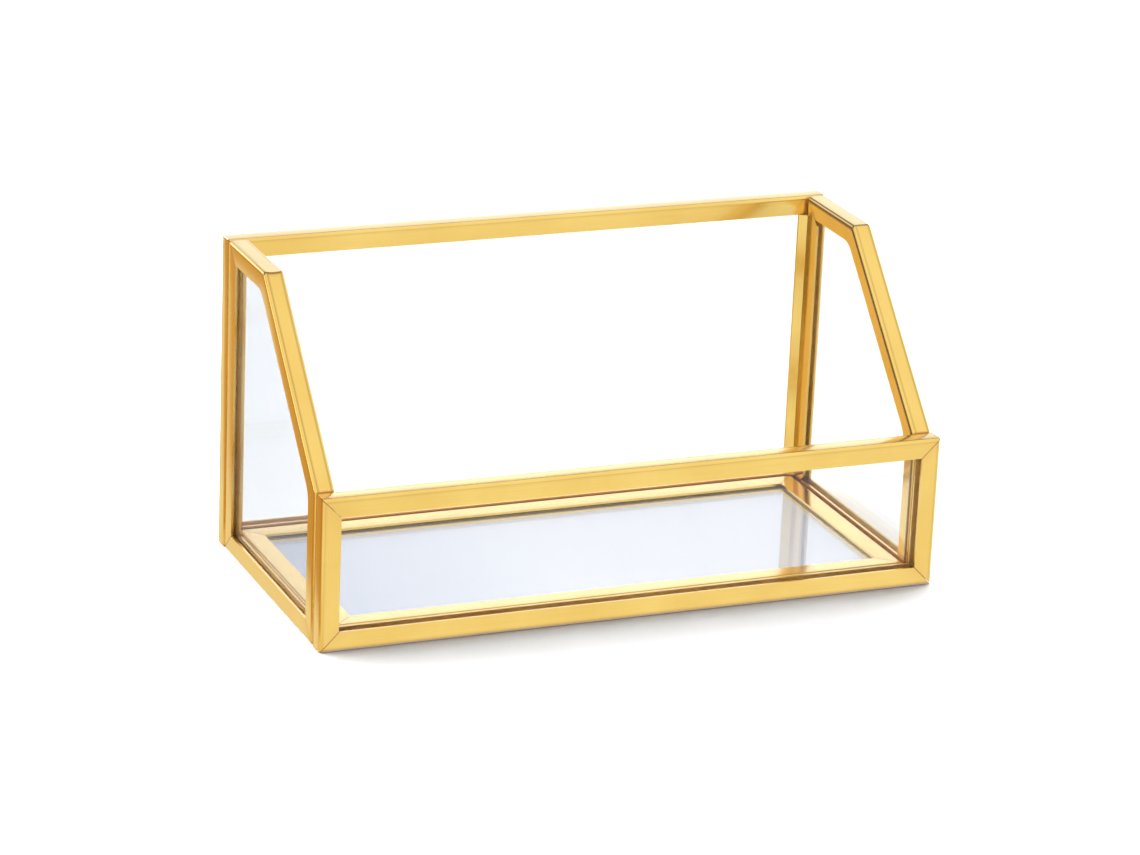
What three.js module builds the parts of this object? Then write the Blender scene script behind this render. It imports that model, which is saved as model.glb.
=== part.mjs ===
// Open-topped glass card holder: five clear panes, each wrapped at its edges in folded brass channel.
// Millimetres. +X runs to the right, +Y to the back, +Z up; the origin is at the bottom centre.
import * as THREE from 'three';

// ---- Driving dimensions ----
const WIDTH = 104; // over the front and back frames
const DEPTH = 50.4; // front face to back face
const HEIGHT = 51.8; // table to the top of the back frame
const FRONT_HEIGHT = 24.9; // table to the top of the low front frame
const SHOULDER = 20.8; // from the back face to where the side frames start to slope down

const GLASS = 2; // pane thickness
const SHEET = 0.4; // brass sheet that the channel is folded from
const FLANGE = 3.15; // how far a wall channel laps over its pane, web included
const FLOOR_FLANGE = 3.5; // the same for the floor's channel
const EDGE_RADIUS = 0.7; // outside radius of the channel's two folds
const FACE_PLAY = 0.25; // between each face of a wall pane and its flange
const FLOOR_FACE_PLAY = 0.1; // the same for the floor pane
const EDGE_PLAY = 0.3; // between a pane's edge and the web
const MITRE_GAP = 0.12; // hairline between two mitred ends
const SEAM = 0.3; // between neighbouring frames, filled by a strip of solder

const BEND_RADIUS = 0.8; // outside radius of the bent side rail
const INNER_BEND_RADIUS = 4; // radius of its flange's inner edge at the same bend
const BEND_STEPS = 4;
const FOLD_STEPS = 3;

const SOLDER_THICKNESS = 0.2;
const SOLDER_INSET = 0.6; // how far the solder stops short of the visible faces
const FLOOR_SOLDER_END = 6; // how far the floor's solder stops short of the corners

// ---- Derived sizes ----
const CHANNEL = GLASS + 2 * (FACE_PLAY + SHEET); // thickness of a framed wall
const FLOOR_CHANNEL = GLASS + 2 * (FLOOR_FACE_PLAY + SHEET); // thickness of the framed floor
const WALL_CHANNEL = { flange: FLANGE, thickness: CHANNEL };
const FLOOR_EDGE_CHANNEL = { flange: FLOOR_FLANGE, thickness: FLOOR_CHANNEL };
const FRONT_Y = -DEPTH / 2;
const BACK_Y = DEPTH / 2;
const LEFT_X = -WIDTH / 2;
const RIGHT_X = WIDTH / 2;
const SIDE_FRONT_Y = FRONT_Y + CHANNEL + SEAM;
const SIDE_BACK_Y = BACK_Y - CHANNEL - SEAM;
const FLOOR_LEFT_X = LEFT_X + CHANNEL + SEAM;
const FLOOR_RIGHT_X = RIGHT_X - CHANNEL - SEAM;

// ---- Finishes ----
const brass = new THREE.MeshStandardMaterial({
  name: 'gold_brass', color: 0xf2cb62, roughness: 0.28, metalness: 1,
});
const clearGlass = new THREE.MeshStandardMaterial({
  name: 'clear_glass', color: 0xf1f7ff, roughness: 0.04, metalness: 0, transparent: true, opacity: 0.25,
});
const solder = new THREE.MeshStandardMaterial({
  name: 'solder', color: 0xcdb274, roughness: 0.45, metalness: 1,
});

// The planes that panels are drawn in: a panel's own x, y and thickness along the object's axes.
const X = new THREE.Vector3(1, 0, 0);
const Y = new THREE.Vector3(0, 1, 0);
const Z = new THREE.Vector3(0, 0, 1);
const UPRIGHT_ACROSS = new THREE.Matrix4().makeBasis(X, Z, Y.clone().negate());
const UPRIGHT_ALONG = new THREE.Matrix4().makeBasis(Y, Z, X);

function point(x, y) {
  return new THREE.Vector2(x, y);
}

function named(name, geometry, material) {
  const mesh = new THREE.Mesh(geometry, material);
  mesh.name = name;
  return mesh;
}

// Unit vector from one outline corner to another.
function heading(from, to) {
  return to.clone().sub(from).normalize();
}

// The left-hand normal, which points into an outline that runs anticlockwise.
function leftOf(direction) {
  return point(-direction.y, direction.x);
}

// At a corner of an outline, the vector that keeps both edges' offsets equal: corner + d * mitre
// lies a distance d inside both edges.
function mitreAt(outline, index) {
  const count = outline.length;
  const corner = outline[index];
  const before = leftOf(heading(outline[(index + count - 1) % count], corner));
  const after = leftOf(heading(corner, outline[(index + 1) % count]));
  return before.clone().add(after).divideScalar(1 + before.dot(after));
}

// The channel's section: x inwards from the outside of the web, y across the panel's thickness.
function channelSection({ flange, thickness }) {
  const inside = EDGE_RADIUS - SHEET;
  const section = new THREE.Shape();
  section.moveTo(flange, 0);
  section.lineTo(flange, SHEET);
  section.lineTo(EDGE_RADIUS, SHEET);
  section.absarc(EDGE_RADIUS, EDGE_RADIUS, inside, 1.5 * Math.PI, Math.PI, true);
  section.lineTo(SHEET, thickness - EDGE_RADIUS);
  section.absarc(EDGE_RADIUS, thickness - EDGE_RADIUS, inside, Math.PI, 0.5 * Math.PI, true);
  section.lineTo(flange, thickness - SHEET);
  section.lineTo(flange, thickness);
  section.lineTo(EDGE_RADIUS, thickness);
  section.absarc(EDGE_RADIUS, thickness - EDGE_RADIUS, EDGE_RADIUS, 0.5 * Math.PI, Math.PI, false);
  section.lineTo(0, EDGE_RADIUS);
  section.absarc(EDGE_RADIUS, EDGE_RADIUS, EDGE_RADIUS, Math.PI, 1.5 * Math.PI, false);
  section.closePath();
  return section;
}

// Carries the section through a row of stations. A point x inwards goes to corner + x * inward.
function channelThrough(stations, channel) {
  const steps = stations.length - 1;
  const geometry = new THREE.ExtrudeGeometry(channelSection(channel), {
    depth: steps, steps, bevelEnabled: false, curveSegments: FOLD_STEPS,
  });
  const position = geometry.attributes.position;
  for (let i = 0; i < position.count; i += 1) {
    const inwards = position.getX(i);
    const across = position.getY(i);
    const { corner, inward } = stations[Math.round(position.getZ(i))];
    position.setXYZ(i, corner.x + inwards * inward.x, corner.y + inwards * inward.y, across);
  }
  geometry.computeVertexNormals();
  return geometry;
}

// The mitred end of a rail at one corner of the outline, held back by half the mitre gap.
function mitredEnd(outline, index, towards) {
  const back = heading(outline[index], towards).multiplyScalar(MITRE_GAP / 2);
  return { corner: outline[index].clone().add(back), inward: mitreAt(outline, index) };
}

// A straight rail between two neighbouring corners of the outline.
function straightRail(outline, from, channel) {
  const to = (from + 1) % outline.length;
  const stations = [
    mitredEnd(outline, from, outline[to]),
    mitredEnd(outline, to, outline[from]),
  ];
  return channelThrough(stations, channel);
}

// Stations round a bend, where the outside turns on a tight arc and the flange's inner edge on a wide one.
function bendStations(outline, index) {
  const corner = outline[index];
  const mitre = mitreAt(outline, index);
  const before = heading(outline[index - 1], corner);
  const after = heading(corner, outline[index + 1]);
  const turn = before.angleTo(after);
  const spread = INNER_BEND_RADIUS - BEND_RADIUS;
  const stations = [];
  for (let step = 0; step <= BEND_STEPS; step += 1) {
    const normal = leftOf(before).rotateAround(point(0, 0), (turn * step) / BEND_STEPS);
    const outside = corner.clone()
      .addScaledVector(mitre, BEND_RADIUS)
      .addScaledVector(normal, -BEND_RADIUS);
    const inward = mitre.clone().multiplyScalar(FLANGE + spread)
      .addScaledVector(normal, -spread)
      .divideScalar(FLANGE);
    stations.push({ corner: outside, inward });
  }
  return stations;
}

// A closed pane that stops a set distance inside the outline, between the channel's two flanges.
function pane(outline, channel) {
  const inset = SHEET + EDGE_PLAY;
  const corners = outline.map(
    (corner, index) => corner.clone().addScaledVector(mitreAt(outline, index), inset),
  );
  const geometry = new THREE.ExtrudeGeometry(new THREE.Shape(corners), {
    depth: GLASS, bevelEnabled: false,
  });
  return geometry.translate(0, 0, (channel.thickness - GLASS) / 2);
}

function rectangle(left, right, bottom, top) {
  return [point(left, bottom), point(right, bottom), point(right, top), point(left, top)];
}

// A pane with four mitred rails round it, named in the outline's order: near, right, far, left.
function framedRectangle(panel, railNames, outline, channel) {
  const group = new THREE.Group();
  railNames.forEach((railName, index) => {
    group.add(named(railName, straightRail(outline, index, channel), brass));
  });
  group.add(named(`${panel}_glass`, pane(outline, channel), clearGlass));
  return group;
}

function uprightFrame(panel, height, backFace) {
  const railNames = ['bottom_rail', 'right_stile', 'top_rail', 'left_stile'].map((part) => `${panel}_${part}`);
  const outline = rectangle(LEFT_X, RIGHT_X, 0, height);
  const group = framedRectangle(panel, railNames, outline, WALL_CHANNEL);
  group.applyMatrix4(UPRIGHT_ACROSS);
  group.position.y = backFace;
  return group;
}

function floorFrame() {
  const railNames = ['front_rail', 'right_rail', 'back_rail', 'left_rail'].map((part) => `floor_${part}`);
  const outline = rectangle(FLOOR_LEFT_X, FLOOR_RIGHT_X, SIDE_FRONT_Y, SIDE_BACK_Y);
  return framedRectangle('floor', railNames, outline, FLOOR_EDGE_CHANNEL);
}

// A side frame: one rail bent twice over the top, down the slope and down the front, a rear stile
// and a bottom rail, mitred where they meet.
function sideFrame(side, outerX) {
  const outline = [
    point(SIDE_FRONT_Y, 0),
    point(SIDE_BACK_Y, 0),
    point(SIDE_BACK_Y, HEIGHT),
    point(BACK_Y - SHOULDER, HEIGHT),
    point(SIDE_FRONT_Y, FRONT_HEIGHT),
    point(SIDE_FRONT_Y, 0),
  ];
  const closed = outline.slice(0, -1);
  const bentStations = [
    mitredEnd(closed, 2, closed[3]),
    ...bendStations(outline, 3),
    ...bendStations(outline, 4),
    mitredEnd(closed, 0, closed[4]),
  ];
  const group = new THREE.Group();
  group.add(named(`${side}_bottom_rail`, straightRail(closed, 0, WALL_CHANNEL), brass));
  group.add(named(`${side}_rear_stile`, straightRail(closed, 1, WALL_CHANNEL), brass));
  group.add(named(`${side}_bent_rail`, channelThrough(bentStations, WALL_CHANNEL), brass));
  group.add(named(`${side}_glass`, pane(closed, WALL_CHANNEL), clearGlass));
  group.applyMatrix4(UPRIGHT_ALONG);
  group.position.x = outerX;
  return group;
}

// A strip of solder given by its size and the middle of its box.
function solderStrip(name, size, middle) {
  const strip = named(name, new THREE.BoxGeometry(...size), solder);
  strip.position.set(...middle);
  return strip;
}

// Upright strips that hold the side frames to the front and back frames.
function uprightSolder() {
  const group = new THREE.Group();
  const across = CHANNEL - 2 * SOLDER_INSET;
  const ends = [
    ['front', FRONT_Y + CHANNEL + SEAM / 2, FRONT_HEIGHT],
    ['back', BACK_Y - CHANNEL - SEAM / 2, HEIGHT],
  ];
  for (const [end, y, height] of ends) {
    for (const [side, x] of [['left', LEFT_X + CHANNEL / 2], ['right', RIGHT_X - CHANNEL / 2]]) {
      const size = [across, SOLDER_THICKNESS, height - 2 * SOLDER_INSET];
      group.add(solderStrip(`${end}_${side}_solder`, size, [x, y, height / 2]));
    }
  }
  return group;
}

// Level strips that hold the floor frame between the four walls.
function floorSolder() {
  const group = new THREE.Group();
  const tall = FLOOR_CHANNEL - 2 * SOLDER_INSET;
  const z = FLOOR_CHANNEL / 2;
  const alongX = FLOOR_RIGHT_X - FLOOR_LEFT_X - 2 * FLOOR_SOLDER_END;
  const alongY = SIDE_BACK_Y - SIDE_FRONT_Y - 2 * FLOOR_SOLDER_END;
  for (const [end, y] of [['front', SIDE_FRONT_Y - SEAM / 2], ['back', SIDE_BACK_Y + SEAM / 2]]) {
    const size = [alongX, SOLDER_THICKNESS, tall];
    group.add(solderStrip(`floor_${end}_solder`, size, [0, y, z]));
  }
  for (const [side, x] of [['left', FLOOR_LEFT_X - SEAM / 2], ['right', FLOOR_RIGHT_X + SEAM / 2]]) {
    const size = [SOLDER_THICKNESS, alongY, tall];
    group.add(solderStrip(`floor_${side}_solder`, size, [x, 0, z]));
  }
  return group;
}

const cardHolder = new THREE.Group();
cardHolder.add(
  uprightFrame('front', FRONT_HEIGHT, FRONT_Y + CHANNEL),
  uprightFrame('back', HEIGHT, BACK_Y),
  sideFrame('left', LEFT_X),
  sideFrame('right', RIGHT_X - CHANNEL),
  floorFrame(),
  uprightSolder(),
  floorSolder(),
);

export default cardHolder;
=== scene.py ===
"""An open glass card holder: five clear panes edged in folded gold channel, on a white table.

Every rail is one channel section carried through a row of stations along its frame's outline. Every pane is
a closed plate with ground edges. Sizes come from the CAD frame; the few below are the channel's own.
"""

import math
from collections import namedtuple

import bmesh
import bpy
import numpy as np
from mathutils import Matrix, Vector


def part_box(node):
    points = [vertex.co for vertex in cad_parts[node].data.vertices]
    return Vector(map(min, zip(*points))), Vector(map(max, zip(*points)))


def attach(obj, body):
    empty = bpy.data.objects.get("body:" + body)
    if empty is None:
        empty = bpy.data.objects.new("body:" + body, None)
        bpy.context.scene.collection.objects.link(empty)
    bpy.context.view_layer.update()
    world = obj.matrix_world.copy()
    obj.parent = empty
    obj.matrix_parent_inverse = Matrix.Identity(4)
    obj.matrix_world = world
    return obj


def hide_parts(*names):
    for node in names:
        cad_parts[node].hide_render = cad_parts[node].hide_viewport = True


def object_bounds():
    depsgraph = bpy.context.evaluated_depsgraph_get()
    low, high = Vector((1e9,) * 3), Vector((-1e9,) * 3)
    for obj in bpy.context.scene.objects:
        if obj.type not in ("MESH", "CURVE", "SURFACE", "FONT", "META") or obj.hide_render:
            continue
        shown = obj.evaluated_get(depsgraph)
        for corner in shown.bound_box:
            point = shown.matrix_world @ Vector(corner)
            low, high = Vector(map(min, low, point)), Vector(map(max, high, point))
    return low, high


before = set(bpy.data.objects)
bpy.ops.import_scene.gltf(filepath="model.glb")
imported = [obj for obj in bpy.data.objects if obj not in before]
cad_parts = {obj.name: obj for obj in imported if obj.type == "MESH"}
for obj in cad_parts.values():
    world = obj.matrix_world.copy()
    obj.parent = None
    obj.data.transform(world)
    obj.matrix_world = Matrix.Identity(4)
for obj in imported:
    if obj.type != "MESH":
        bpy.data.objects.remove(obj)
cad_low, cad_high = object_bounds()

MM = 0.001

# ---- The folded channel ----
SHEET = 0.4 * MM
FOLD_RADIUS = 0.55 * MM
LIP_LEAN = 0.05 * MM  # each flange leans in this far at its lip, to grip the pane
WEB_CROWN = 0.03 * MM  # how far the web's middle stands above its edges
MITRE_GAP = 0.12 * MM
BEND_RADIUS = 0.8 * MM
INNER_BEND_RADIUS = 4 * MM
SHOULDER = 20.8 * MM  # how far a side frame runs level from the back before it slopes
WIDER_INSIDE = 0.8 * MM  # the right rear stile's inner flange, beyond the others
STATION_SPACING = 2.5 * MM
HAND_WAVE = 0.018 * MM  # how far a rail wanders from straight, as a hand-folded one does
WAVES = ((17 * MM, 7.3 * MM), (13 * MM, 5.9 * MM))  # a long and a short one inwards, then across
WAVE_FADE = 6 * MM  # the wander dies away this close to a rail's ends
LIP_BREAK = 0.06 * MM  # the broken edge on every cut end and lip

# ---- Painted shade at the folds and in the corners, and the soldering's warmth ----
FOLD_SHADE = 0.11 * MM  # how far the painted shade, a brown line at each fold, spreads
DEEPEST_FOLD_SHADE = 2
FINE_FOLD_SHADES = (0.8, 0.8, 0.3, 0.3)
DEEP_INNER_FOLD_SHADE = (0.6, 0.8, 400, 0.3)  # the third is cut off at the deepest, so it is broad as well
FAINT_CORNER_SHADE = 0.15  # the painted corner shade's strength on the floor's rails and the front top rail, where the others have 1
HEAT_REACH = 2.2 * MM  # how far along a rail the soldering has warmed its colour

# ---- The cover strips in the rear inside corners ----
STRIP_WIDTH = 1.3 * MM
STRIP_LEAN = 0.8 * MM

# ---- The panes ----
EDGE_PLAY = 0.3 * MM  # between a pane's edge and the web beside it
ARRIS = 0.15 * MM  # the ground bevel along every edge of a pane


def node_low(node):
    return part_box(node)[0]


def node_high(node):
    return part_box(node)[1]


Channel = namedtuple("Channel", "flange thickness")
WALL = Channel(node_high("front_top_rail").z - node_low("front_top_rail").z,
               node_high("front_top_rail").y - node_low("front_top_rail").y)
FLOOR = Channel(node_high("floor_front_rail").y - node_low("floor_front_rail").y,
                node_high("floor_front_rail").z - node_low("floor_front_rail").z)
FRONT_TOP = node_high("front_top_rail").z
SIDE_FRONT = node_low("left_bent_rail").y
SIDE_BACK = node_high("left_rear_stile").y
FLOOR_LEFT = node_low("floor_left_rail").x
FLOOR_RIGHT = node_high("floor_right_rail").x
FLOOR_BOTTOM = node_low("floor_front_rail").z
GLASS = node_high("front_glass").y - node_low("front_glass").y


# ---- Outlines, drawn in each panel's own plane and running anticlockwise ----
def rectangle(left, right, bottom, top):
    return np.array([[left, bottom], [right, bottom], [right, top], [left, top]])


FRONT_OUTLINE = rectangle(cad_low.x, cad_high.x, cad_low.z, FRONT_TOP)
BACK_OUTLINE = rectangle(cad_low.x, cad_high.x, cad_low.z, cad_high.z)
FLOOR_OUTLINE = rectangle(FLOOR_LEFT, FLOOR_RIGHT, SIDE_FRONT, SIDE_BACK)
SIDE_OUTLINE = np.array([
    [SIDE_FRONT, cad_low.z],
    [SIDE_BACK, cad_low.z],
    [SIDE_BACK, cad_high.z],
    [cad_high.y - SHOULDER, cad_high.z],
    [SIDE_FRONT, FRONT_TOP],
])


def across(outer_y):
    """Places (u, v, w) of a front or back panel: u along X, v up, w forwards from its rear face."""
    return lambda u, v, w: np.stack([u, outer_y - w, v], axis=-1)


def along(outer_x):
    """Places (u, v, w) of a side panel: u along Y, v up, w to the right of its left face."""
    return lambda u, v, w: np.stack([outer_x + w, u, v], axis=-1)


def level(bottom_z):
    """Places (u, v, w) of the floor panel: u along X, v along Y, w up from its underside."""
    return lambda u, v, w: np.stack([u, v, bottom_z + w], axis=-1)


def unit(vector):
    return vector / np.linalg.norm(vector)


def left_of(vector):
    return np.array([-vector[1], vector[0]])


def turned(vector, angle):
    c, s = math.cos(angle), math.sin(angle)
    return np.array([c * vector[0] - s * vector[1], s * vector[0] + c * vector[1]])


def mitre_at(outline, index):
    """The vector m for which corner + d * m lies a distance d inside both edges, whose inward unit vectors
    are n1 and n2: (n1 + n2) / (1 + n1.n2)."""
    corner = outline[index]
    before = left_of(unit(corner - outline[index - 1]))
    after = left_of(unit(outline[(index + 1) % len(outline)] - corner))
    return (before + after) / (1 + before @ after)


# ---- The channel's section and how it is carried ----
def arc(centre, radius, start, stop, steps):
    angle = np.radians(np.linspace(start, stop, steps + 1))
    return np.stack([centre[0] + radius * np.cos(angle), centre[1] + radius * np.sin(angle)], axis=1)


def channel_section(channel, fold_shades, wider, face_steps=8, fold_steps=8):
    """Closed loop of (distance in from the web's face, place across the panel), and each point's painted
    fold shade.

    A flange's face is straight but for a lean LIP_LEAN * s squared, s running from fold to lip; the web's
    face has a shallow crown; both folds are quarter circles, of FOLD_RADIUS outside and less SHEET inside.
    s is spaced as (1 - cos) / 2, so that points gather by the folds. The first flange, the low one, may be
    wider than the other. Painted shade, a dark line, runs where a fold meets the web or a flange on the
    outside, as deep as fold_shades says for (web low, web high, flange low, flange high). It falls off
    along the section as exp(-(away / FOLD_SHADE)^2), and is -1 all over the inside.
    """
    inside = FOLD_RADIUS - SHEET
    low, high = FOLD_RADIUS, channel.thickness - FOLD_RADIUS
    s = (1 - np.cos(np.linspace(0, math.pi, face_steps + 1))) / 2
    reach = low + s * (channel.flange - low)
    first_reach = low + s * (channel.flange + wider - low)
    lean = LIP_LEAN * s ** 2
    crown = WEB_CROWN * (2 * s - 1) ** 2
    web = np.stack([crown, low + s * (high - low)], axis=1)
    inner_first = np.concatenate([
        arc((low, low), inside, 180, 270, fold_steps),
        np.stack([first_reach, SHEET + lean], axis=1)[1:],
    ])
    outer = np.concatenate([
        np.stack([first_reach, lean], axis=1)[::-1],
        arc((low, low), FOLD_RADIUS, 270, 180, fold_steps)[1:-1],
        web,
        arc((low, high), FOLD_RADIUS, 180, 90, fold_steps)[1:-1],
        np.stack([reach, channel.thickness - lean], axis=1),
    ])
    inner_second = np.concatenate([
        np.stack([reach, channel.thickness - SHEET - lean], axis=1)[::-1],
        arc((low, high), inside, 90, 180, fold_steps)[1:],
    ])
    folds = np.array([[0, low], [0, high], [low, 0], [low, channel.thickness]])
    away = np.linalg.norm(outer[:, None, :] - folds[None, :, :], axis=2)
    line = np.minimum(np.array(fold_shades) * np.exp(-(away / FOLD_SHADE) ** 2), DEEPEST_FOLD_SHADE).max(axis=1)
    fold_shade = np.concatenate([np.full(len(inner_first), -1.0), line, np.full(len(inner_second), -1.0)])
    return np.concatenate([inner_first, outer, inner_second]), fold_shade


def wander(distance, seed):
    """How a folded rail strays from straight along its length, inwards and across: each is a slow sine wave
    and a weaker, shorter one, with seeded phases."""
    phase = np.random.default_rng(seed).uniform(0, 2 * math.pi, 4)
    return [HAND_WAVE * (np.sin(distance / long + phase[i]) + 0.6 * np.sin(distance / short + phase[i + 1]))
            for i, (long, short) in zip((0, 2), WAVES)]


def closed_mesh(name, points, faces, material):
    mesh = bpy.data.meshes.new(name)
    mesh.from_pydata(points.reshape(-1, 3).tolist(), [], faces)
    mesh.materials.append(material)
    shell = bmesh.new()
    shell.from_mesh(mesh)
    bmesh.ops.recalc_face_normals(shell, faces=shell.faces)
    shell.to_mesh(mesh)
    shell.free()
    piece = bpy.data.objects.new(name, mesh)
    bpy.context.scene.collection.objects.link(piece)
    return piece


def loft_faces(rows, columns):
    """Quads between neighbouring rows of a closed loop, and a cap over the first and last."""
    i, j = np.meshgrid(np.arange(rows - 1), np.arange(columns), indexing="ij")
    k = (j + 1) % columns
    this_row, next_row = i * columns, (i + 1) * columns
    quads = np.stack([this_row + j, this_row + k, next_row + k, next_row + j], axis=-1)
    caps = [list(range(columns))[::-1], list(range((rows - 1) * columns, rows * columns))]
    return quads.reshape(-1, 4).tolist() + caps


def smooth(piece, angle=32):
    piece.data.polygons.foreach_set("use_smooth", np.ones(len(piece.data.polygons), bool))
    piece.data.set_sharp_from_angle(angle=math.radians(angle))


def break_edges(piece, width, segments=2):
    bevel = piece.modifiers.new("broken_edges", "BEVEL")
    bevel.width = width
    bevel.segments = segments
    bevel.limit_method = "ANGLE"
    bevel.angle_limit = math.radians(50)
    bevel.harden_normals = True


def settle(piece, node):
    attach(piece, "root")
    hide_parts(node)


def paint_points(piece, name, values):
    attribute = piece.data.attributes.new(name, "FLOAT", "POINT")
    attribute.data.foreach_set("value", values.astype(np.float32).ravel())


def lay_along(piece, uv):
    """Gives every face corner its own vertex's (along, round), on the map that the drawn lines follow."""
    loops = np.zeros(len(piece.data.loops), np.int32)
    piece.data.loops.foreach_get("vertex_index", loops)
    layer = piece.data.uv_layers.new(name="along_rail")
    layer.data.foreach_set("uv", uv.reshape(-1, 2)[loops].astype(np.float32).ravel())


def carry_channel(node, stations, channel, place, seed, bends=(), fold_shades=FINE_FOLD_SHADES, wider=0.0):
    """The section carried through stations (corner, inward, distance): a loop point d in and w across goes
    to corner + d * inward in the panel's plane, moved by the rail's own slow wander. The wander inwards is
    made positive, so that a rail never leaves its frame's outline. A bend gets painted shade, a dark line
    across the web."""
    section, fold_shade = channel_section(channel, fold_shades, wider)
    corner = np.array([s[0] for s in stations])
    inward = np.array([s[1] for s in stations])
    distance = np.array([s[2] for s in stations])
    stray_in, stray_across = wander(distance, seed)
    from_end = np.minimum(distance, distance[-1] - distance)
    fade = np.minimum(1, from_end / WAVE_FADE)
    d = section[None, :, 0] + np.abs(stray_in * fade)[:, None]
    flat = corner[:, None, :] + d[..., None] * inward[:, None, :]
    w = section[None, :, 1] + (stray_across * fade * 0.5)[:, None]
    points = place(flat[..., 0], flat[..., 1], np.broadcast_to(w, flat.shape[:2]))
    rows, columns = flat.shape[:2]
    piece = closed_mesh(f"{node}_folded", points, loft_faces(rows, columns), brass)
    piece.data.materials.append(pale_brass if channel is FLOOR else brown_brass)

    inside = (fold_shade < 0) & (np.roll(fold_shade, -1) < 0)
    slots = np.zeros(len(piece.data.polygons), np.int32)
    slots[:(rows - 1) * columns] = np.tile(inside, rows - 1)
    piece.data.polygons.foreach_set("material_index", slots)

    step = np.linalg.norm(np.diff(section, axis=0, append=section[:1]), axis=1)
    round_section = np.concatenate([[0], np.cumsum(step)[:-1]])
    lay_along(piece, np.stack(np.broadcast_arrays(distance[:, None], round_section[None, :]), axis=-1))
    paint_points(piece, "joint_heat", np.repeat(np.exp(-from_end / HEAT_REACH), columns))

    # painted shade: a dark line where each fold starts, and one across the web at each bend
    on_web = (section[:, 0] < FOLD_RADIUS) & (fold_shade >= 0)
    across_bend = sum((np.exp(-((distance - at) / (1.3 * FOLD_SHADE)) ** 2) for at in bends), np.zeros(rows))
    lines = np.maximum(np.maximum(fold_shade, 0)[None, :], across_bend[:, None] * on_web[None, :])
    paint_points(piece, "fold_shade", lines)
    # painted corner shade, fainter on the floor's rails and the front top rail
    lightly_shaded = channel is FLOOR or node == "front_top_rail"
    paint_points(piece, "shade_weight", np.full(rows * columns, FAINT_CORNER_SHADE if lightly_shaded else 1.0))

    smooth(piece)
    break_edges(piece, LIP_BREAK)
    settle(piece, node)


def held_back(outline, index, towards):
    return outline[index] + unit(towards - outline[index]) * MITRE_GAP / 2


def filled_in(stations):
    """Adds stations so that no step along the rail is longer than STATION_SPACING."""
    filled = []
    travelled = 0.0
    for (corner, inward), (next_corner, next_inward) in zip(stations[:-1], stations[1:]):
        gap = np.linalg.norm(next_corner - corner)
        steps = max(1, math.ceil(gap / STATION_SPACING))
        for t in np.arange(steps) / steps:
            between = (1 - t) * corner + t * next_corner
            between_inward = (1 - t) * inward + t * next_inward
            filled.append((between, between_inward, travelled + t * gap))
        travelled += gap
    filled.append((*stations[-1], travelled))
    return filled


def straight_rail(node, outline, index, channel, place, seed, wider=0.0):
    after = (index + 1) % len(outline)
    ends = [
        (held_back(outline, index, outline[after]), mitre_at(outline, index)),
        (held_back(outline, after, outline[index]), mitre_at(outline, after)),
    ]
    carry_channel(node, filled_in(ends), channel, place, seed, wider=wider)


def bend(outline, index, steps=10):
    """Stations round a bend: the outside turns on a tight arc, the flange's lip on a wide one."""
    corner, mitre = outline[index], mitre_at(outline, index)
    before = unit(corner - outline[index - 1])
    after = unit(outline[(index + 1) % len(outline)] - corner)
    turn = math.acos(before @ after)
    spread = INNER_BEND_RADIUS - BEND_RADIUS
    stations = []
    for angle in np.linspace(0, turn, steps + 1):
        normal = turned(left_of(before), angle)
        outside = corner + BEND_RADIUS * (mitre - normal)
        stations.append((outside, ((WALL.flange + spread) * mitre - spread * normal) / WALL.flange))
    return stations


def bent_rail(node, outline, place, seed, fold_shades):
    """The upper rail of a side frame, from the mitre at its back to the one at its front, bent twice."""
    stations = filled_in([
        (held_back(outline, 2, outline[3]), mitre_at(outline, 2)),
        *bend(outline, 3),
        *bend(outline, 4),
        (held_back(outline, 0, outline[4]), mitre_at(outline, 0)),
    ])
    first_bend = np.linalg.norm(outline[2] - outline[3]) - MITRE_GAP / 2
    carry_channel(node, stations, WALL, place, seed, [first_bend], fold_shades)


def cover_strip(node, open_edge, side_edge, low, high, rows=20):
    """A flat strip of brass, soldered upright into an inside corner and leaning across it: a slanting box's
    four edges carried up its length. An edge is (x, y) on the strip's front face."""
    thick = np.array([0, SHEET])
    points = np.zeros((rows, 4, 3))
    points[..., :2] = [open_edge, side_edge, side_edge + thick, open_edge + thick]
    points[..., 2] = np.linspace(low, high, rows)[:, None]
    piece = closed_mesh(f"{node}_cover_strip", points, loft_faces(rows, 4), brass)
    lay_along(piece, points[..., [2, 0]])
    break_edges(piece, LIP_BREAK)
    settle(piece, node)


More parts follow.
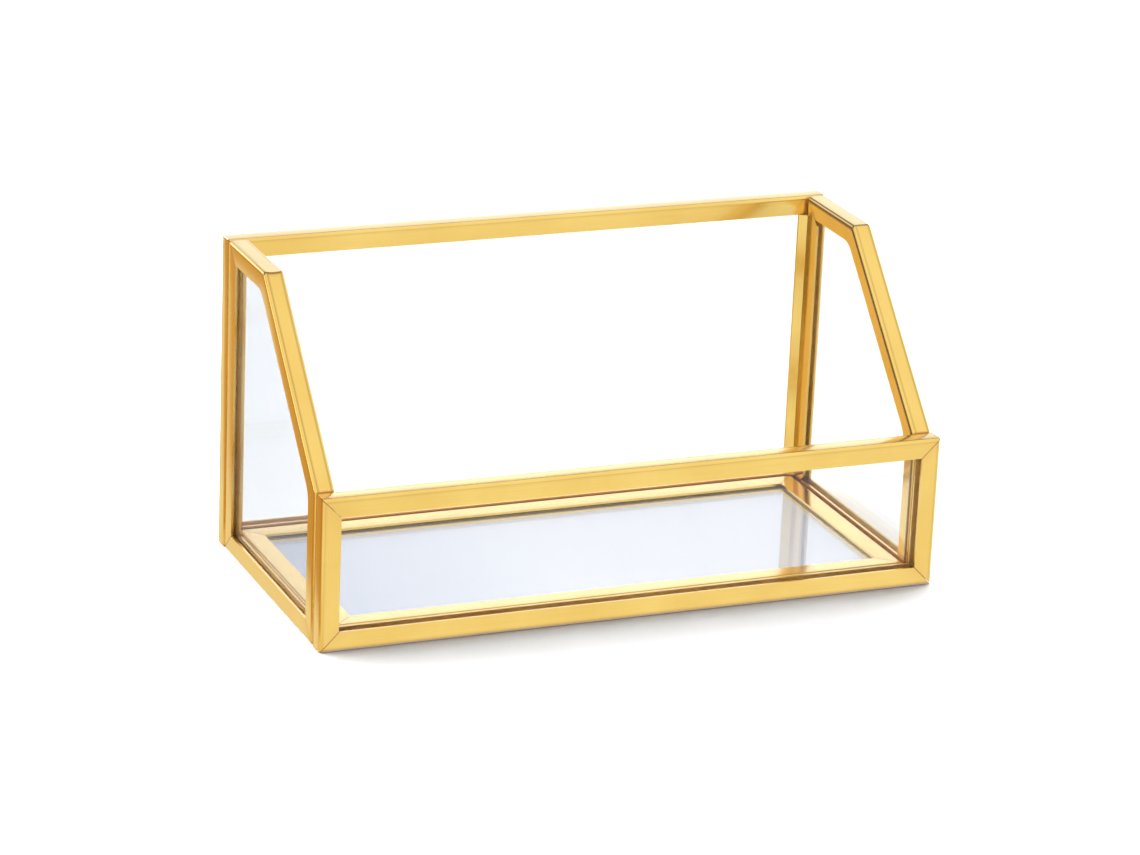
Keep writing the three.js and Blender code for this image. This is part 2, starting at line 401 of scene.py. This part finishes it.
def lapped_end(outline, place, reach=4 * MM, lap=0.75 * MM, thickness=0.08 * MM, sunk=0.1 * MM,
               across_steps=16, along_steps=22):
    """The upper sheet's rounded end, lapped over the bend: a thin plate on the web that runs on straight.

    Across the web q runs from -1 to 1, and a row ends at reach + lap * (1 - q^4) past its start. The upper
    face keeps straight on; the lower face is walked along the web's own path: straight, the bend's arc,
    straight again, and is sunk into it. So the nose stands off the sloping web by as much as the bend has
    dropped. Rows gather towards the nose, as 1 - (1 - t)^2.
    """
    corner = outline[3]
    before, after = unit(corner - outline[2]), unit(outline[4] - corner)
    turn = math.acos(before @ after)
    start_arc = corner - before * BEND_RADIUS * math.tan(turn / 2)
    centre = start_arc + left_of(before) * BEND_RADIUS

    q = np.linspace(-1, 1, across_steps + 1)
    t = 1 - np.linspace(1, 0, along_steps + 1) ** 2
    past = t[:, None] * (reach + lap * (1 - q ** 4))[None, :] - reach
    angle = np.clip(past / BEND_RADIUS, 0, turn)[..., None]
    outward = -(np.cos(angle) * left_of(before) - np.sin(angle) * before)
    path = centre + BEND_RADIUS * outward + np.minimum(past, 0)[..., None] * before
    path = path + np.maximum(past - turn * BEND_RADIUS, 0)[..., None] * after
    rise = thickness * np.sqrt(1 - (0.98 * q) ** 8)[None, :, None]
    over = start_arc + past[..., None] * before - rise * left_of(before)
    under = path - sunk * outward

    flat = np.concatenate([over, under[:, ::-1]], axis=1)
    half = WALL.thickness / 2 - 0.4 * FOLD_RADIUS
    w = WALL.thickness / 2 + half * np.concatenate([q, q[::-1]])
    points = place(flat[..., 0], flat[..., 1], np.broadcast_to(w, flat.shape[:2]))
    rows, columns = flat.shape[:2]
    faces = loft_faces(rows, columns)[:-2]
    j = np.arange(across_steps)
    for first, flip in ((0, 1), ((rows - 1) * columns, -1)):
        cap = np.stack([first + j, first + j + 1, first + columns - 2 - j, first + columns - 1 - j], axis=1)
        faces += cap[:, ::flip].tolist()
    piece = closed_mesh("left_bent_rail_lapped_end", points, faces, brass)
    # painted shadow under the plate's nose, and painted shade along its sides
    shade_weight = np.zeros((rows, columns))
    shade_weight[-1] = 0.9
    shade_weight[:, [0, across_steps, across_steps + 1, -1]] = 0.5
    paint_points(piece, "fold_shade", shade_weight)
    smooth(piece)
    settle(piece, "left_bent_rail")


def pane(node, outline, channel, place, material):
    """A plate lofted through four copies of the outline: both faces set in by ARRIS more than the edge."""
    mitres = np.array([mitre_at(outline, i) for i in range(len(outline))])
    low = (channel.thickness - GLASS) / 2
    loops = [(ARRIS, low), (0, low + ARRIS), (0, low + GLASS - ARRIS), (ARRIS, low + GLASS)]
    flat = np.stack([outline + (SHEET + EDGE_PLAY + extra) * mitres for extra, _ in loops])
    w = np.array([height for _, height in loops])[:, None]
    points = place(flat[..., 0], flat[..., 1], np.broadcast_to(w, flat.shape[:2]))
    piece = closed_mesh(f"{node}_pane", points, loft_faces(*flat.shape[:2]), material)
    settle(piece, node)


def solder_run(node, material, round_steps=12, spacing=0.8 * MM):
    """A flattened bead along the seam: an oval section that fills the CAD strip's box, carried along its
    longest side. Its width swells and thins by up to an eighth, from another place for each seam, and it
    tapers at both ends as the root of 1 - t^16."""
    low, high = (np.array(corner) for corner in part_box(node))
    middle, half = (low + high) / 2, (high - low) / 2
    run, wide, thin = np.argsort(-half)
    t = np.linspace(-1, 1, max(8, int(2 * half[run] / spacing)))
    taper = np.sqrt(np.clip(1 - t ** 16, 0.02, 1))
    lumps = 1 - 0.12 * (1 + np.sin(37 * t + 5 * node.count("l")) * np.sin(23 * t)) / 2
    angle = np.linspace(0, 2 * math.pi, round_steps, endpoint=False)
    points = np.zeros((len(t), round_steps, 3))
    points[..., run] = middle[run] + (half[run] * t)[:, None]
    points[..., wide] = middle[wide] + half[wide] * (taper * lumps)[:, None] * np.cos(angle)
    points[..., thin] = middle[thin] + half[thin] * taper[:, None] * np.sin(angle)
    piece = closed_mesh(f"{node}_run", points, loft_faces(len(t), round_steps), material)
    smooth(piece, 60)
    settle(piece, node)


# ---- Finishes ----
DEEP_GOLD, PALE_GOLD = (0.84, 0.555, 0.115), (0.90, 0.63, 0.155)
IN_DRAWN_LINES = (0.76, 0.46, 0.085)
WARMED_BY_JOINT = (0.78, 0.42, 0.10)
IN_FOLD_SHADE, DEEP_IN_FOLD_SHADE = (0.30, 0.16, 0.03), (0.13, 0.055, 0.008)
SHADED_CORNER_TONE = (0.52, 0.235, 0.04)
CORNER_REACH = 0.7 * MM
BROWNER, BROWN = (0.95, 0.54, 0.12), (1.0, 0.64, 0.18)
PALE, PALER = (0.98, 0.80, 0.50), (1.0, 0.86, 0.58)
GREY_SOLDER, YELLOW_SOLDER = (0.42, 0.28, 0.10), (0.62, 0.46, 0.20)
WALL_TINT, WALL_CLEAR = (0.985, 0.992, 1.0), (0.995, 0.998, 1.0)
# the floor pane's darker, greyer colour at the holder's left end is painted shade
FLOOR_SHADE_TINT, FLOOR_CLEAR = (0.76, 0.79, 0.86), (1.0, 1.0, 1.0)
GLASS_IOR = 1.5


def new_finish(name):
    material = bpy.data.materials.new(name)
    material.use_nodes = True
    return material, material.node_tree, material.node_tree.nodes["Principled BSDF"]


def on_object(tree):
    return tree.nodes.new("ShaderNodeTexCoord").outputs["Object"]


def split_up(tree, direction):
    split = tree.nodes.new("ShaderNodeSeparateXYZ")
    tree.links.new(direction, split.inputs["Vector"])
    return split.outputs


def painted(tree, name):
    attribute = tree.nodes.new("ShaderNodeAttribute")
    attribute.attribute_name = name
    return attribute.outputs["Fac"]


def noise_on(tree, source, scale, stretch=(1, 1, 1), detail=3.0, rough=0.5):
    mapping = tree.nodes.new("ShaderNodeMapping")
    mapping.inputs["Scale"].default_value = stretch
    noise = tree.nodes.new("ShaderNodeTexNoise")
    noise.inputs["Scale"].default_value = scale
    noise.inputs["Detail"].default_value = detail
    noise.inputs["Roughness"].default_value = rough
    tree.links.new(source, mapping.inputs["Vector"])
    tree.links.new(mapping.outputs["Vector"], noise.inputs["Vector"])
    return noise.outputs["Fac"]


def spread_to(tree, value, low, high, to_low=0, to_high=1):
    """value's stretch from low to high, spread evenly from to_low to to_high and held there beyond it."""
    ranged = tree.nodes.new("ShaderNodeMapRange")
    ranged.inputs["From Min"].default_value = low
    ranged.inputs["From Max"].default_value = high
    ranged.inputs["To Min"].default_value = to_low
    ranged.inputs["To Max"].default_value = to_high
    tree.links.new(value, ranged.inputs["Value"])
    return ranged.outputs["Result"]


def maths(tree, operation, *values, clamp=True):
    step = tree.nodes.new("ShaderNodeMath")
    step.operation = operation
    step.use_clamp = clamp
    for socket, value in zip(step.inputs, values):
        if isinstance(value, (int, float)):
            socket.default_value = value
        else:
            tree.links.new(value, socket)
    return step.outputs["Value"]


def blended(tree, factor, first, second):
    mix = tree.nodes.new("ShaderNodeMix")
    mix.data_type = "RGBA"
    tree.links.new(factor, mix.inputs[0])
    for socket, colour in ((6, first), (7, second)):
        if isinstance(colour, tuple):
            mix.inputs[socket].default_value = (*colour, 1)
        else:
            tree.links.new(colour, mix.inputs[socket])
    return mix.outputs[2]


def in_corners(tree, reach, darkest):
    """0 in the open, 1 deep in a corner, from how much of the view within reach is closed."""
    shade = tree.nodes.new("ShaderNodeAmbientOcclusion")
    shade.samples = 8
    shade.inputs["Distance"].default_value = reach
    return spread_to(tree, shade.outputs["AO"], darkest, 0.97, 1, 0)


def gold_brass():
    """Bright gold brass, drawn lengthwise: fine lines along each rail, cloudy tone, warmer by the joints,
    under a clear lacquer. Painted shade darkens it: a brown line where each fold starts, and browner, less
    metallic brass in the corners of joints, by how closed the view there is."""
    material, tree, shader = new_finish("gold_brass")
    uv = tree.nodes.new("ShaderNodeUVMap")
    uv.uv_map = "along_rail"
    drawn = noise_on(tree, uv.outputs["UV"], 1.0, (90, 6500, 1), detail=4, rough=0.6)
    clouds = noise_on(tree, on_object(tree), 75, detail=4)
    heat, fold_shade = painted(tree, "joint_heat"), painted(tree, "fold_shade")
    # painted shade in the corners of joints, from how closed the view is there
    corner = maths(tree, "MULTIPLY", in_corners(tree, CORNER_REACH, 0.45), painted(tree, "shade_weight"))

    tone = blended(tree, spread_to(tree, clouds, 0.35, 0.68), DEEP_GOLD, PALE_GOLD)
    tone = blended(tree, spread_to(tree, drawn, 0.4, 0.75, 0, 0.25), tone, IN_DRAWN_LINES)
    tone = blended(tree, spread_to(tree, heat, 0.1, 1, 0, 0.3), tone, WARMED_BY_JOINT)
    # painted shade along the folds
    tone = blended(tree, spread_to(tree, fold_shade, 0, 1, 0, 0.85), tone, IN_FOLD_SHADE)
    tone = blended(tree, spread_to(tree, fold_shade, 1, DEEPEST_FOLD_SHADE), tone, DEEP_IN_FOLD_SHADE)
    tone = blended(tree, corner, tone, SHADED_CORNER_TONE)
    tree.links.new(tone, shader.inputs["Base Color"])
    tree.links.new(spread_to(tree, corner, 0, 1, 1, 0.35), shader.inputs["Metallic"])
    tree.links.new(spread_to(tree, drawn, 0.3, 0.7, 0.13, 0.22), shader.inputs["Roughness"])
    shader.inputs["Coat Weight"].default_value = 1.0
    shader.inputs["Coat Roughness"].default_value = 0.08
    shader.inputs["Coat IOR"].default_value = 1.5

    bump = tree.nodes.new("ShaderNodeBump")
    bump.inputs["Strength"].default_value = 0.12
    bump.inputs["Distance"].default_value = 0.02 * MM
    tree.links.new(drawn, bump.inputs["Height"])
    tree.links.new(bump.outputs["Normal"], shader.inputs["Normal"])
    return material


def cloudy_metal(name, darker, lighter, metallic, scale, detail, lightest, smoothest, roughest):
    """Matt metal with no polish, its tone and its roughness both following the same clouds."""
    material, tree, shader = new_finish(name)
    clouds = noise_on(tree, on_object(tree), scale, detail=detail)
    tone = blended(tree, spread_to(tree, clouds, 0.35, lightest), darker, lighter)
    tree.links.new(tone, shader.inputs["Base Color"])
    tree.links.new(spread_to(tree, clouds, 0.3, 0.7, smoothest, roughest), shader.inputs["Roughness"])
    shader.inputs["Metallic"].default_value = metallic
    return material


def unpolished_brass(name, darker, lighter, metallic):
    """The inside of the channel, which the polish never reaches: matt brass, dull and cloudy in tone."""
    return cloudy_metal(name, darker, lighter, metallic, 160, 4, 0.68, 0.30, 0.42)


def polished_glass(name, tint, clear, span):
    """Clear float glass, cooler at the holder's left end and fading to clear over span along X, with an
    uneven edge. On the wall panes this is a faint tint; on the floor pane it is painted shade, darker and
    greyer."""
    material, tree, shader = new_finish(name)
    place = on_object(tree)
    cloud = noise_on(tree, place, 12, detail=3)
    drift = maths(tree, "MULTIPLY_ADD", cloud, 0.3 * span, split_up(tree, place)["X"], clamp=False)
    fading = spread_to(tree, drift, cad_low.x, cad_low.x + span)
    tree.links.new(blended(tree, fading, tint, clear), shader.inputs["Base Color"])
    shader.inputs["Roughness"].default_value = 0.0
    shader.inputs["Transmission Weight"].default_value = 1.0
    shader.inputs["IOR"].default_value = GLASS_IOR
    return material


# ---- Making the holder ----
brass = gold_brass()
brown_brass = unpolished_brass("unpolished_brass", BROWNER, BROWN, 0.3)
pale_brass = unpolished_brass("unpolished_pale_brass", PALE, PALER, 0.0)
wall_glass = polished_glass("wall_glass", WALL_TINT, WALL_CLEAR, 20 * MM)
floor_glass = polished_glass("floor_glass", FLOOR_SHADE_TINT, FLOOR_CLEAR, 55 * MM)
solder = cloudy_metal("dull_solder", GREY_SOLDER, YELLOW_SOLDER, 1.0, 900, 3, 0.70, 0.35, 0.55)

UPRIGHT_PANELS = [
    ("front", FRONT_OUTLINE, cad_low.y + WALL.thickness),
    ("back", BACK_OUTLINE, cad_high.y),
]
seed = 0
for panel, outline, rear_face in UPRIGHT_PANELS:
    for index, part in enumerate(["bottom_rail", "right_stile", "top_rail", "left_stile"]):
        seed += 1
        straight_rail(f"{panel}_{part}", outline, index, WALL, across(rear_face), seed)
    pane(f"{panel}_glass", outline, WALL, across(rear_face), wall_glass)

for side, outer_x in [("left", cad_low.x), ("right", cad_high.x - WALL.thickness)]:
    place = along(outer_x)
    for index, part in enumerate(["bottom_rail", "rear_stile"]):
        seed += 1
        wider = WIDER_INSIDE if (side, part) == ("right", "rear_stile") else 0.0
        straight_rail(f"{side}_{part}", SIDE_OUTLINE, index, WALL, place, seed, wider)
    seed += 1
    fold_shades = FINE_FOLD_SHADES if side == "left" else DEEP_INNER_FOLD_SHADE
    bent_rail(f"{side}_bent_rail", SIDE_OUTLINE, place, seed, fold_shades)
    if side == "left":
        lapped_end(SIDE_OUTLINE, place)
    pane(f"{side}_glass", SIDE_OUTLINE, WALL, place, wall_glass)

back_face = cad_high.y - WALL.thickness
strip_low, strip_high = cad_low.z + FLOOR.thickness, cad_high.z - WALL.flange
for node, side_face, inwards in [("back_right_stile", cad_high.x - WALL.thickness, -1),
                                 ("back_left_stile", cad_low.x + WALL.thickness, 1)]:
    open_edge = np.array([side_face + inwards * STRIP_WIDTH, back_face])
    side_edge = np.array([side_face, back_face - STRIP_LEAN])
    cover_strip(node, open_edge, side_edge, strip_low, strip_high)

for index, part in enumerate(["front_rail", "right_rail", "back_rail", "left_rail"]):
    seed += 1
    straight_rail(f"floor_{part}", FLOOR_OUTLINE, index, FLOOR, level(FLOOR_BOTTOM), seed)
pane("floor_glass", FLOOR_OUTLINE, FLOOR, level(FLOOR_BOTTOM), floor_glass)

for seam in ["front_left", "front_right", "back_left", "back_right",
             "floor_front", "floor_back", "floor_left", "floor_right"]:
    solder_run(f"{seam}_solder", solder)


# ---- The table, the light and the camera ----
def grey(strength):
    return strength, strength, strength


# What the metal mirrors of the room, and what falls on a matt surface from it
WALL_FOOT, BACK_WALL, DARK_BAND, CEILING, FRONT_WALL = 1.9, 1.2, 0.2, 1.2, 1.1
BACK_LIGHT, TOP_LIGHT, FRONT_LIGHT = 6.2, 4.3, 0.35

# The table's tones: itself, the painted glow and dim reflection that mirrors see, and the painted tones
# seen through glass
TABLE_WHITE = grey(0.93)
MIRRORED_WHITE = grey(1.05)
WARM_BEHIND = (0.90, 0.60, 0.18)
WARM_LEFT = (0.66, 0.37, 0.08)
WARM_BY_POSTS = (0.96, 0.84, 0.50)
DIM_IN_PANES = (0.30, 0.33, 0.40)
THROUGH_PANES = (0.515, 0.536, 0.56)
UNDER_FLOOR = (0.66, 0.72, 0.84)
UNDER_FLOOR_SHARE = 0.7

# Where each soft edge on the table starts and ends, along X or along Y
LEFT_SIDE = (-50 * MM, -52.5 * MM)
OFF_LEFT = (-56 * MM, -62 * MM)
FAR_LEFT = (-95.5 * MM, -98.5 * MM)
PAST_LEFT_END = (-52 * MM, -46 * MM)
SHORT_OF_RIGHT = (85 * MM, 65 * MM)
PAST_FRONT = (-45 * MM, -20 * MM)
BEHIND = (28 * MM, 36 * MM)
HOLDER_EDGE = 0.5 * MM
POST_SLOPE, POST_LINE = 3.08, -148.2 * MM  # the posts mirror what has y + POST_SLOPE * x past POST_LINE
POST_EDGE = 3 * MM


def sort_rays(tree, own_turns):
    """Three switches for the room round the holder: 1 for light on its way to a matt surface, 1 for what
    metal or glass mirrors, and 1 for what satin metal mirrors last. A ray has met a matt surface if it has
    turned more often than it has been mirrored or let through. own_turns is what the room itself adds to
    the count."""
    path = tree.nodes.new("ShaderNodeLightPath").outputs
    shiny_turns = maths(tree, "ADD", path["Glossy Depth"], path["Transmission Depth"], clamp=False)
    turns = maths(tree, "SUBTRACT", path["Ray Depth"], own_turns, clamp=False)
    lighting = maths(tree, "SUBTRACT", turns, shiny_turns)
    mirrored = maths(tree, "SUBTRACT", maths(tree, "MINIMUM", path["Glossy Depth"], 1), lighting)
    return lighting, mirrored, maths(tree, "SUBTRACT", mirrored, path["Is Singular Ray"])


def warm_patches(tree, x, y, in_satin):
    """The table as metal mirrors it, a painted reflection that glows: white, but warm behind the holder. To
    its left, satin metal mirrors a pale warm patch by the holder's side, and over most of it a deeper one.
    The deeper one leaves out a wedge that only the rear posts mirror."""
    past_front = spread_to(tree, y, *PAST_FRONT)
    by_posts = maths(tree, "MULTIPLY", spread_to(tree, x, *LEFT_SIDE), past_front)
    across_line = maths(tree, "MULTIPLY_ADD", x, POST_SLOPE, y, clamp=False)
    short_of_posts = spread_to(tree, across_line, POST_LINE + POST_EDGE, POST_LINE - POST_EDGE)
    left = maths(tree, "MULTIPLY", spread_to(tree, x, *OFF_LEFT), past_front)
    off_posts = maths(tree, "MAXIMUM", spread_to(tree, x, *FAR_LEFT), short_of_posts)
    left = maths(tree, "MULTIPLY", left, off_posts)
    behind = maths(tree, "MULTIPLY", spread_to(tree, y, *BEHIND), spread_to(tree, x, *PAST_LEFT_END))
    behind = maths(tree, "MULTIPLY", behind, spread_to(tree, x, *SHORT_OF_RIGHT))

    seen = blended(tree, behind, MIRRORED_WHITE, WARM_BEHIND)
    for patch, tone in ((by_posts, WARM_BY_POSTS), (left, WARM_LEFT)):
        seen = blended(tree, maths(tree, "MULTIPLY", patch, in_satin), seen, tone)
    return seen


def white_table():
    """Matt white. What the metal mirrors of it is a painted glow, warm in patches, and what a pane mirrors
    of
    it is a painted dim reflection: in its front face everywhere, and in either face on the left. Seen
    through the panes it is painted darker and cooler, and below the holder's floor a painted glow lights it
    evenly."""
    material, tree, shader = new_finish("white_table")
    shader.inputs["Roughness"].default_value = 0.9
    place = split_up(tree, on_object(tree))
    x, y = place["X"], place["Y"]
    lighting, mirrored, in_satin = sort_rays(tree, 0)
    let_through = tree.nodes.new("ShaderNodeLightPath").outputs["Transmission Depth"]

    in_glass = maths(tree, "SUBTRACT", mirrored, in_satin)
    front_face = maths(tree, "LESS_THAN", let_through, 1)
    either_face = maths(tree, "LESS_THAN", let_through, 3)
    on_left = maths(tree, "MULTIPLY", either_face, spread_to(tree, x, *LEFT_SIDE))
    in_pane = maths(tree, "MULTIPLY", in_glass, maths(tree, "MAXIMUM", front_face, on_left))
    seen = blended(tree, in_pane, warm_patches(tree, x, y, in_satin), DIM_IN_PANES)

    past_sides, past_ends = (
        spread_to(tree, maths(tree, "ABSOLUTE", distance, clamp=False), edge, edge + HOLDER_EDGE)
        for distance, edge in ((x, cad_high.x), (y, cad_high.y)))
    outside = maths(tree, "MAXIMUM", past_sides, past_ends)
    through = maths(tree, "SUBTRACT", maths(tree, "MINIMUM", let_through, 1), lighting)
    through = maths(tree, "SUBTRACT", through, mirrored)
    through_walls = maths(tree, "MULTIPLY", through, outside)
    through_floor = maths(tree, "SUBTRACT", through, outside)
    tree.links.new(blended(tree, through_walls, TABLE_WHITE, THROUGH_PANES), shader.inputs["Base Color"])

    # painted glow: what mirrors see of the table, and most of the table below the holder's floor
    glow = tree.nodes.new("ShaderNodeEmission")
    tree.links.new(blended(tree, through_floor, seen, UNDER_FLOOR), glow.inputs["Color"])
    glow_share = maths(tree, "MULTIPLY_ADD", through_floor, UNDER_FLOOR_SHARE, mirrored)
    mix = tree.nodes.new("ShaderNodeMixShader")
    tree.links.new(glow_share, mix.inputs["Fac"])
    tree.links.new(shader.outputs["BSDF"], mix.inputs[1])
    tree.links.new(glow.outputs["Emission"], mix.inputs[2])
    tree.links.new(mix.outputs["Shader"], tree.nodes["Material Output"].inputs["Surface"])
    material.cycles.emission_sampling = "NONE"
    return material


def table(size=3.0):
    mesh = bpy.data.meshes.new("table_top")
    corners = [(-size, -size, 0), (size, -size, 0), (size, size, 0), (-size, size, 0)]
    mesh.from_pydata(corners, [], [(0, 1, 2, 3)])
    mesh.materials.append(white_table())
    top = bpy.data.objects.new("table_top", mesh)
    bpy.context.scene.collection.objects.link(top)


def soft_light(name, place, aim, size, power):
    """A large lamp that lights matt surfaces and isn't mirrored."""
    light = bpy.data.lights.new(name, "AREA")
    light.shape = "RECTANGLE"
    light.size, light.size_y = size
    light.energy = power
    holder = bpy.data.objects.new(name, light)
    holder.location = place
    holder.rotation_mode = "QUATERNION"
    holder.rotation_quaternion = (Vector(aim) - Vector(place)).to_track_quat("-Z", "Y")
    holder.visible_glossy = False
    bpy.context.scene.collection.objects.link(holder)


def ramp_of(tree, value, stops):
    """The strength at value, straight between the stops' (place, strength)."""
    ramp = tree.nodes.new("ShaderNodeValToRGB")
    for at, _ in stops[1:-1]:
        ramp.color_ramp.elements.new(at)
    for element, (at, strength) in zip(ramp.color_ramp.elements, stops):
        element.position = at
        element.color = (*grey(strength), 1)
    tree.links.new(value, ramp.inputs["Fac"])
    return ramp.outputs["Color"]


def surround():
    """A white room. Its light comes mostly from low at the back. Polished metal mirrors pale walls, with a
    dark band above the back wall and a bright ceiling. All of it is given by how high a direction points,
    and whether it points forwards or back."""
    world = bpy.data.worlds.new("white_room")
    world.use_nodes = True
    tree = world.node_tree
    direction = split_up(tree, tree.nodes.new("ShaderNodeTexCoord").outputs["Generated"])
    height, depth = direction["Z"], direction["Y"]

    mirrored_back = ramp_of(tree, height, [
        (0.0, WALL_FOOT), (0.13, WALL_FOOT), (0.23, BACK_WALL), (0.40, BACK_WALL),
        (0.45, DARK_BAND), (0.72, DARK_BAND), (0.84, CEILING), (1.0, CEILING)])
    mirrored_room = blended(tree, spread_to(tree, depth, 0.0, 0.25), grey(FRONT_WALL), mirrored_back)
    lit_back = ramp_of(tree, height, [
        (0.0, BACK_LIGHT), (0.5, BACK_LIGHT), (0.85, TOP_LIGHT), (1.0, TOP_LIGHT)])
    lighting_room = blended(tree, spread_to(tree, depth, -0.2, 0.5), grey(FRONT_LIGHT), lit_back)

    lighting, mirrored, _ = sort_rays(tree, 1)
    seen = blended(tree, mirrored, grey(1), mirrored_room)
    seen = blended(tree, lighting, seen, lighting_room)
    tree.links.new(seen, tree.nodes["Background"].inputs["Color"])
    world.cycles.sampling_method = "NONE"
    bpy.context.scene.world = world


def camera(azimuth, elevation, roll, distance, aim, lens):
    """Looks at aim from the left of the front; azimuth is measured from -Y towards -X."""
    a, e = math.radians(azimuth), math.radians(elevation)
    back = Vector((-math.sin(a) * math.cos(e), -math.cos(a) * math.cos(e), math.sin(e)))
    data = bpy.data.cameras.new("camera")
    data.lens = lens
    data.sensor_width = 36
    data.clip_start, data.clip_end = 0.01, 20
    holder = bpy.data.objects.new("camera", data)
    holder.location = Vector(aim) + back * distance
    holder.rotation_mode = "QUATERNION"
    level_turn = (-back).to_track_quat("-Z", "Y")
    holder.rotation_quaternion = level_turn @ Matrix.Rotation(math.radians(roll), 3, "Z").to_quaternion()
    bpy.context.scene.collection.objects.link(holder)
    bpy.context.scene.camera = holder


table()
surround()
soft_light("back_light", (0.1, 1.2, 0.65), (0, 0, 0), (1.2, 0.6), 1.0)
camera(azimuth=22.98, elevation=19.27, roll=2.49, distance=0.6937, aim=(-0.0015, 0, 0.0232), lens=137.2)
bpy.context.scene.view_settings.view_transform = "Standard"
bpy.context.scene.view_settings.look = "None"
